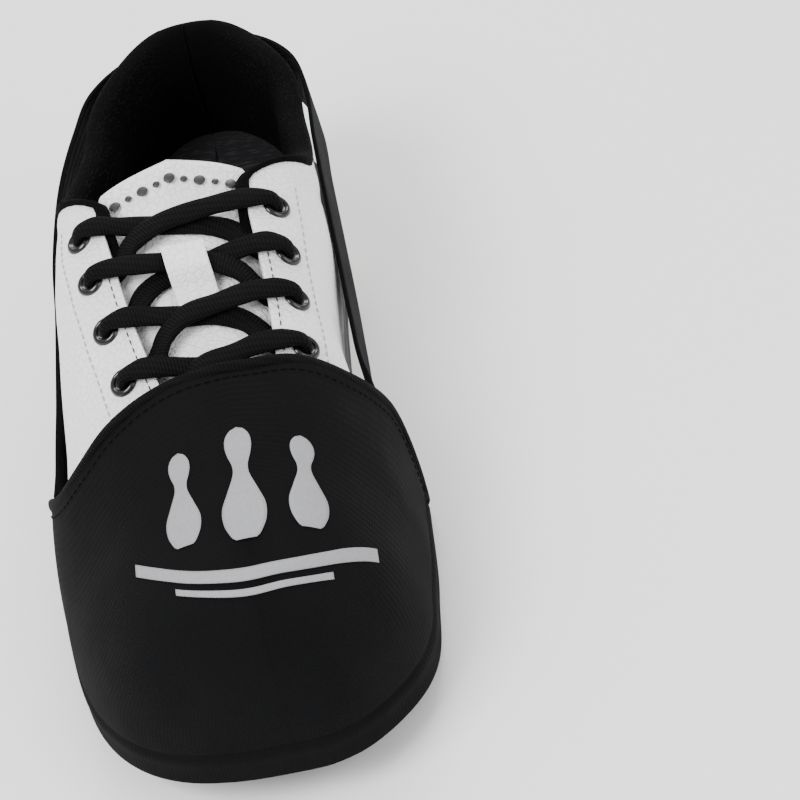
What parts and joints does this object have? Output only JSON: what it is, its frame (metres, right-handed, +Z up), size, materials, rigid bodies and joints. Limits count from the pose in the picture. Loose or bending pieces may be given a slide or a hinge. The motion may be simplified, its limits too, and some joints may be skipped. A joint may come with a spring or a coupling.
{
  "type": "bowling shoe",
  "caption": "Right bowling shoe: white laced leather upper on a black sole with slide sole and raised heel, wearing a black pull-on slide cover held by an elastic heel strap.",
  "frame": {"origin": "middle of the footprint's bounding box, on the floor", "axes": "+X from heel to toe, +Y to the inner (medial) side of the foot, +Z up"},
  "size_m": [0.3042, 0.1212, 0.1021],
  "materials": {
    "white_leather": "fine-grained, semi-matt",
    "black_mesh": "spacer mesh",
    "black_lining": "matt",
    "stiffener": "matt fibre",
    "black_foam": "satin",
    "cream_slide": "smooth felted microfibre",
    "cream_rubber": "matt",
    "spring_steel": "bare",
    "cork_filler": "matt",
    "insole_board": "matt",
    "footbed_cloth": "matt",
    "eyelet_black": "gloss black",
    "lace_black": "woven",
    "aglet_black": "gloss",
    "cover_knit": "matt stretch knit",
    "cover_base": "smooth",
    "elastic_black": "ribbed"
  },
  "bodies": {
    "shoe": {"heel_pad": "cream_rubber", "slide_sole": "cream_slide", "midsole": "black_foam", "shank": "spring_steel", "bottom_filler": "cork_filler", "insole_board": "insole_board", "footbed": "footbed_cloth", "quarter_lateral": "white_leather", "quarter_medial": "white_leather", "vamp": "white_leather", "toe_puff": "stiffener", "vamp_lining": "black_lining", "quarter_lining_lateral": "black_lining", "quarter_lining_medial": "black_lining", "backstay": "white_leather", "heel_counter": "stiffener", "collar_lining": "black_mesh", "tongue": "white_leather", "tongue_lining": "black_mesh", "tongue_keeper": "white_leather", "lace": "lace_black", "aglet_lateral": "aglet_black", "aglet_medial": "aglet_black", "eyelet_lateral_1": "eyelet_black", "eyelet_lateral_2": "eyelet_black", "eyelet_lateral_3": "eyelet_black", "eyelet_lateral_4": "eyelet_black", "eyelet_lateral_5": "eyelet_black", "eyelet_lateral_6": "eyelet_black", "eyelet_medial_1": "eyelet_black", "eyelet_medial_2": "eyelet_black", "eyelet_medial_3": "eyelet_black", "eyelet_medial_4": "eyelet_black", "eyelet_medial_5": "eyelet_black", "eyelet_medial_6": "eyelet_black"},
    "slide_cover": {"slide_cover_top": "cover_knit", "slide_cover_sole": "cover_base", "cover_binding": "elastic_black", "heel_strap": "elastic_black"},
    "tongue_tip": {"tongue_tip": "white_leather"}
  },
  "joints": [
    {"name": "cover_slide", "type": "slide", "parent": "shoe", "child": "slide_cover", "axis": [1, 0, 0], "range_m": [0, 0.13], "stiffness_N_per_m": 20, "deforming": ["heel_strap"]},
    {"name": "tongue_flex", "type": "hinge", "parent": "shoe", "child": "tongue_tip", "pos_m": [-0.0343, 0, 0.0955], "axis": [0, 1, 0], "range_deg": [0, 35], "stiffness_Nm_per_rad": 0.05}
  ]
}
